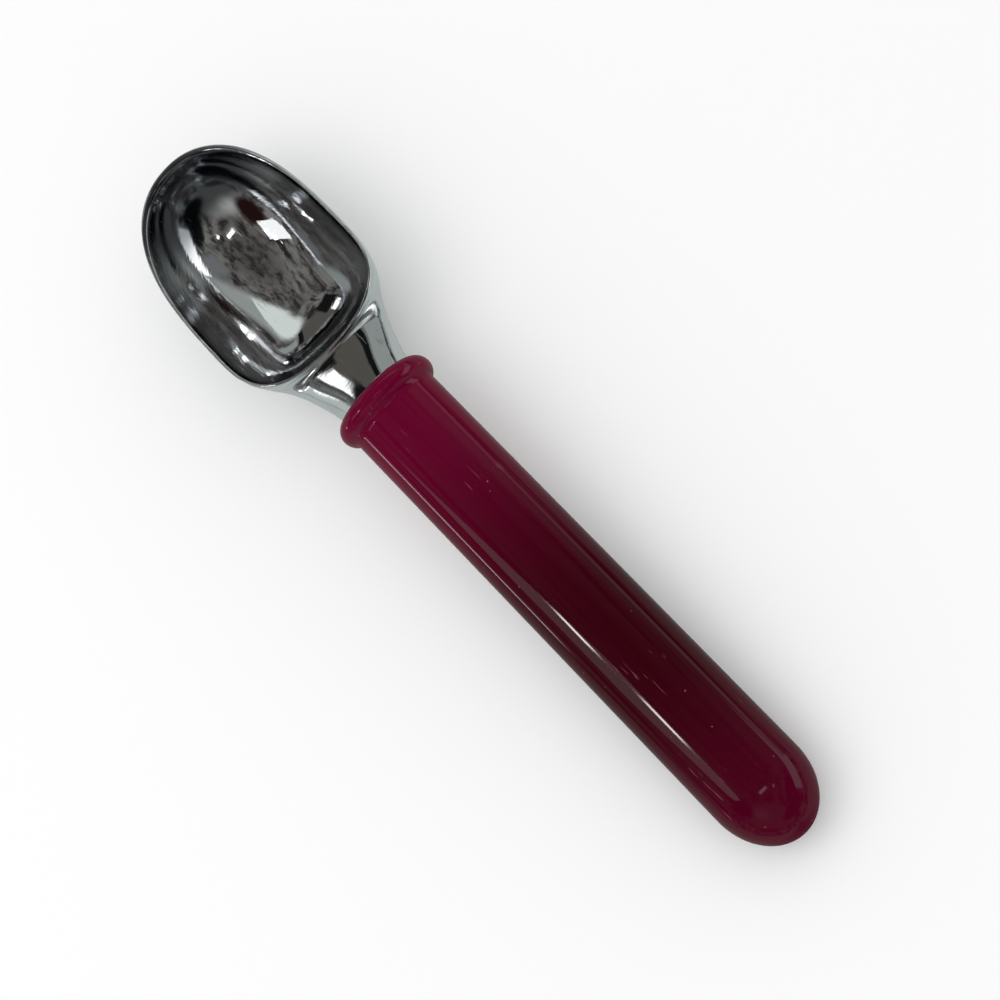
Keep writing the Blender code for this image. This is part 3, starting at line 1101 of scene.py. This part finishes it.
BLACK: Colour = (0.006, 0.007, 0.008)
CARDS = (
    Card("left_wall", 149, 52, 31, 29, (0.205, 0.21, 0.20), soft=0.35, outline=Outline.OVAL),
    Card("left_wall_foot", 141, 72, 20, 7, (0.055, 0.056, 0.054), soft=0.6, outline=Outline.OVAL),
    Card("left_wall_glow", 140, 41, 17, 15, (0.38, 0.38, 0.36), soft=0.9, outline=Outline.OVAL),
    Card("nose_flag", 194, 58, 24, 12.5, (0.005, 0.006, 0.007), soft=0.3, outline=Outline.OVAL),
    Card("low_flag", 216, 71, 8, 5, (0.035, 0.035, 0.035), soft=0.5, outline=Outline.OVAL),
    Card("rear_flag", 218, 48, 25, 13, BLACK, roll=6, soft=0.4, outline=Outline.OVAL),
    Card("grey_screen", 264, 43, 12, 13, (0.165, 0.17, 0.18), soft=0.6),
    Card("front_haze", 3, 58, 15, 9, (0.092, 0.086, 0.074), soft=0.3),
    Card(
        "pale_screen", 306, 48, 38, 14, (0.32, 0.34, 0.325), roll=14, soft=0.6, outline=Outline.OVAL
    ),
    Card(
        "pale_screen_end", 319, 44, 31, 11.5, (0.72, 0.77, 0.735), roll=12, soft=0.5,
        outline=Outline.OVAL,
    ),
    Card("neck_screen", 322, 64.5, 18, 5, (0.29, 0.315, 0.30), roll=26, soft=0.5),
    Card("flank_screen", 57, 80, 18, 10, (0.50, 0.54, 0.52), soft=0.4),
    Card("front_flag", 347, 57, 4.5, 7, BLACK, soft=0.4),
    Card("white_wall", 249, 64, 22, 11, (1.4, 1.4, 1.4), soft=0.25),
    Card("white_wall_end", 285, 67, 16, 5.5, (0.85, 0.85, 0.85), soft=0.4),
    Card("neck_flag", 22, 54, 11, 7, (0.008, 0.008, 0.008), soft=0.25),
    Card("neck_glow", 21, 64, 6.5, 3.0, (1.5, 1.5, 1.5), soft=0.4),
    Card("maroon_flag", 107, 42, 17, 18, (0.016, 0.006, 0.006), soft=0.5, outline=Outline.OVAL),
    Card("window_haze", 84, 54, 7, 7, (0.22, 0.20, 0.20), soft=0.4),
    Card("window", 81, 42, 6, 13.5, (1.15, 1.15, 1.13), roll=-20, soft=0.12),
    Card("window_pane", 78, 34.8, 1.2, 1.9, (37.0, 37.0, 36.0), soft=0.5),
    Card("window_pane_2", 85.5, 32.0, 1.3, 1.9, (34.0, 34.0, 33.0), soft=0.5),
    Card("window_sill", 74.5, 79, 5.5, 2.4, (10.5, 8.7, 9.5), soft=0.5),
    Card("neck_edge", 52, 74, 9, 1.6, (1.8, 1.8, 1.75), roll=-30, soft=0.5),
    Card("ceiling_lamp", 170, 15, 5, 1.9, (2.2, 2.2, 2.2), roll=10, soft=0.3),
    Card("ceiling_spot", 209, 22, 2.5, 1.9, (1.6, 1.6, 1.6), soft=0.5),
)


@dataclass
class Studio:
    """A pale floor under a soft white sky, one window lamp, and a dim tent with cards in
    it that only gloss shows."""

    floor_size: float = 6.0
    floor_colour: Colour = (0.94, 0.942, 0.94)
    floor_roughness: float = 0.9
    floor_gloss: float = 0.2
    sky_strength: float = 0.96
    backdrop: float = 0.88
    lamp_power: float = 0.60
    lamp_place: Three = (0.16, 0.34, 0.62)
    lamp_size: float = 0.50
    tent_radius: float = 3.6
    tent_top: Colour = (0.105, 0.096, 0.088)
    tent_middle: Colour = (0.195, 0.189, 0.178)
    tent_foot: Colour = (0.38, 0.42, 0.41)
    tent_dark: Colour = (0.024, 0.021, 0.020)
    foot_ends: float = 0.26
    middle_starts: float = 0.46
    middle_ends: float = 0.88
    top_starts: float = 0.985
    blotch_count: float = 7.0
    blotch_lift: float = 0.12
    dapple_edge: Edge = (0.39, 0.60)
    dapple_share: float = 0.97
    table_colour: Colour = (0.46, 0.50, 0.48)
    table_shade: Colour = (0.13, 0.14, 0.14)
    shade_reach: float = 0.024
    table_height: float = 0.0003
    cards: tuple[Card, ...] = CARDS
    card_distance: float = 3.2
    card_gap: float = 0.04

    def tent_material(self) -> bpy.types.Material:
        """Makes the tent's material.

        Returns:
            A mottled cloth that glows, dark overhead and pale at its foot.
        """
        sheet = Sheet("tent_cloth")
        height = sheet.part(sheet.spot(1 / self.tent_radius), "Z")
        blotch = sheet.cloud(sheet.spot(self.blotch_count / self.tent_radius), 5.0, 0.7)
        height = height + (blotch - 0.5) * self.blotch_lift
        stops = [
            (0.0, self.tent_foot),
            (self.foot_ends, self.tent_foot),
            (self.middle_starts, self.tent_middle),
            (self.middle_ends, self.tent_middle),
            (self.top_starts, self.tent_top),
        ]
        colour = sheet.add("ShaderNodeValToRGB", {"stops": stops}, {0: height})
        dapple = sheet.step(blotch, *self.dapple_edge, self.dapple_share)
        colour = sheet.blend(1 - dapple, colour, self.tent_dark)
        return sheet.finish(sheet.add("ShaderNodeEmission", {}, {"Color": colour, "Strength": 1.0}))

    def table_material(self) -> bpy.types.Material:
        """Makes the material of the sheen under the scoop.

        Returns:
            A glow that darkens where the scoop shades the table.
        """
        sheet = Sheet("table_sheen")
        aside = sheet.step(abs(sheet.part(sheet.spot(), "Y")), 0.0, self.shade_reach)
        colour = sheet.blend(aside, self.table_shade, self.table_colour)
        return sheet.finish(sheet.add("ShaderNodeEmission", {}, {"Color": colour, "Strength": 1.0}))

    def build_room(self) -> None:
        """Makes the floor, and the tent and the table's sheen, which only gloss shows."""
        floor, tent, table = bmesh.new(), bmesh.new(), bmesh.new()
        bmesh.ops.create_grid(floor, x_segments=1, y_segments=1, size=self.floor_size / 2)
        sheet = Sheet("pale_floor")
        sockets = {
            "Base Color": self.floor_colour,
            "Roughness": self.floor_roughness,
            "Specular IOR Level": self.floor_gloss,
        }
        matt = sheet.finish(sheet.add("ShaderNodeBsdfPrincipled", {}, sockets))
        staged("floor", floor, matt, hidden=False)
        bmesh.ops.create_icosphere(tent, subdivisions=5, radius=self.tent_radius)
        staged("tent", tent, self.tent_material(), hidden=True)
        lift = Matrix.Translation((0.0, 0.0, self.table_height))
        bmesh.ops.create_circle(
            table, cap_ends=True, segments=64, radius=self.tent_radius, matrix=lift
        )
        staged("table_sheen", table, self.table_material(), hidden=True)

    def build_light(self) -> None:
        """Makes the window lamp, which gloss doesn't show, and the white sky."""
        scene = bpy.context.scene
        data = bpy.data.lights.new("window_lamp", "AREA")
        data.size, data.energy = self.lamp_size, self.lamp_power
        lamp = bpy.data.objects.new("window_lamp", data)
        lamp.location = self.lamp_place
        aim = Vector((0.0, 0.0, 0.0)) - Vector(self.lamp_place)
        lamp.rotation_euler = aim.to_track_quat("-Z", "Y").to_euler()
        lamp.visible_glossy = False
        scene.collection.objects.link(lamp)
        sky = Sheet("sky", sky=True)
        rays = (
            sky.add("ShaderNodeLightPath", output=f"Is {ray} Ray")
            for ray in RAYS_THAT_SEE_THE_BACKDROP
        )
        seen = functools.reduce(lambda one, two: sky.maths("MAXIMUM", one, two), rays)
        strength = seen * (self.backdrop - self.sky_strength) + self.sky_strength
        sockets = {"Color": WHITE, "Strength": strength}
        scene.world = sky.finish(sky.add("ShaderNodeBackground", {}, sockets))
        scene.view_settings.view_transform = "Standard"

    def build(self) -> None:
        """Makes the room, its cards and its light."""
        self.build_room()
        for number, card in enumerate(self.cards):
            card.build(self.card_distance - self.card_gap * number)
        self.build_light()


def dress_part(
    part: Casting | GripSleeve, node: str, finish: Chrome | Vinyl, place: Placement
) -> None:
    """Builds a piece, gives it its finish and puts it in its CAD node's place.

    Args:
        part: The piece's sizes.
        node: The CAD node that it stands for.
        finish: The finish of its surface.
        place: How the tool lies.
    """
    piece = part.build(place)
    piece.data.materials.append(finish.material())
    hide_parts(node)
    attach(piece, "root")
    LOG.info("%s: %d faces", piece.name, len(piece.data.polygons))


def main() -> None:
    """Builds the pieces, the view and the studio."""
    logging.basicConfig(level=logging.INFO, format="%(name)s: %(message)s")
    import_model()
    casting, sleeve = Casting(), GripSleeve()
    place = resting_place(casting, sleeve)
    LOG.info("pitch %.2f degrees", math.degrees(place.pitch))
    dress_part(casting, "scoop_casting", Chrome(), place)
    dress_part(sleeve, "grip_sleeve", Vinyl(), place)
    View().build(place)
    Studio().build()


if __name__ == "__main__":
    main()
